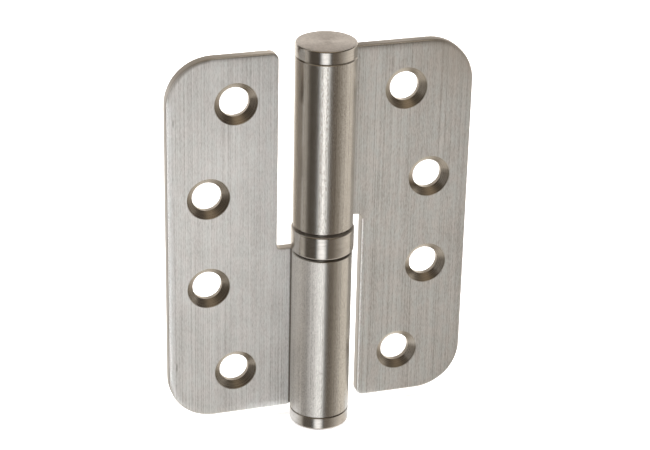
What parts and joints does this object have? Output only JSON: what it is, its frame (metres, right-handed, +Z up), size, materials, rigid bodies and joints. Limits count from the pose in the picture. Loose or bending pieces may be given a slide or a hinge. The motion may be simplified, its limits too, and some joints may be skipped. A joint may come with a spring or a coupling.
{
  "type": "lift-off door hinge",
  "caption": "Lift-off butt hinge in brushed stainless sheet: round-cornered leaves with countersunk holes, rolled knuckles on a fixed pin, a ball-bearing collar and flat end caps.",
  "frame": {"origin": "on the pin's axis, midway between the two knuckles, which is the middle of the part's box", "axes": "+Z up along the pin, from the frame leaf's knuckle to the door leaf's. +X across the opened hinge towards the door leaf. +Y through the leaves, from the countersunk faces to the backs"},
  "size_m": [0.08, 0.0162, 0.106],
  "materials": {
    "leaf_steel": "stainless sheet, brushed along the pin, tumbled edges",
    "turned_steel": "stainless bar, fine turning marks",
    "pin_steel": "ground stainless bar, light film of grease",
    "bearing_steel": "hardened and polished"
  },
  "bodies": {
    "frame_leaf": {"frame_leaf": "leaf_steel", "hinge_pin": "pin_steel", "bottom_cap": "turned_steel", "lower_race": "bearing_steel", "bearing_shell": "turned_steel"},
    "ball_ring": {"ball_01": "bearing_steel", "ball_02": "bearing_steel", "ball_03": "bearing_steel", "ball_04": "bearing_steel", "ball_05": "bearing_steel", "ball_06": "bearing_steel", "ball_07": "bearing_steel", "ball_08": "bearing_steel", "ball_09": "bearing_steel", "ball_10": "bearing_steel", "ball_11": "bearing_steel", "ball_12": "bearing_steel", "ball_13": "bearing_steel", "ball_14": "bearing_steel", "ball_15": "bearing_steel", "ball_16": "bearing_steel"},
    "upper_race": {"upper_race": "bearing_steel"},
    "door_leaf": {"door_leaf": "leaf_steel", "top_cap": "turned_steel"}
  },
  "joints": [
    {"name": "leaf_swing", "type": "hinge", "parent": "frame_leaf", "child": "upper_race", "pos_m": [0, 0, 0], "axis": [0, 0, 1], "range_deg": [-180, 125]},
    {"name": "ball_travel", "type": "hinge", "parent": "frame_leaf", "child": "ball_ring", "pos_m": [0, 0, 0], "axis": [0, 0, 1], "range_deg": [-90, 62.5]},
    {"name": "leaf_lift", "type": "slide", "parent": "upper_race", "child": "door_leaf", "axis": [0, 0, 1], "range_m": [0, 0.045]}
  ],
  "couplings": [
    {"joint": "ball_travel", "follows": "leaf_swing", "ratio": 0.5}
  ]
}
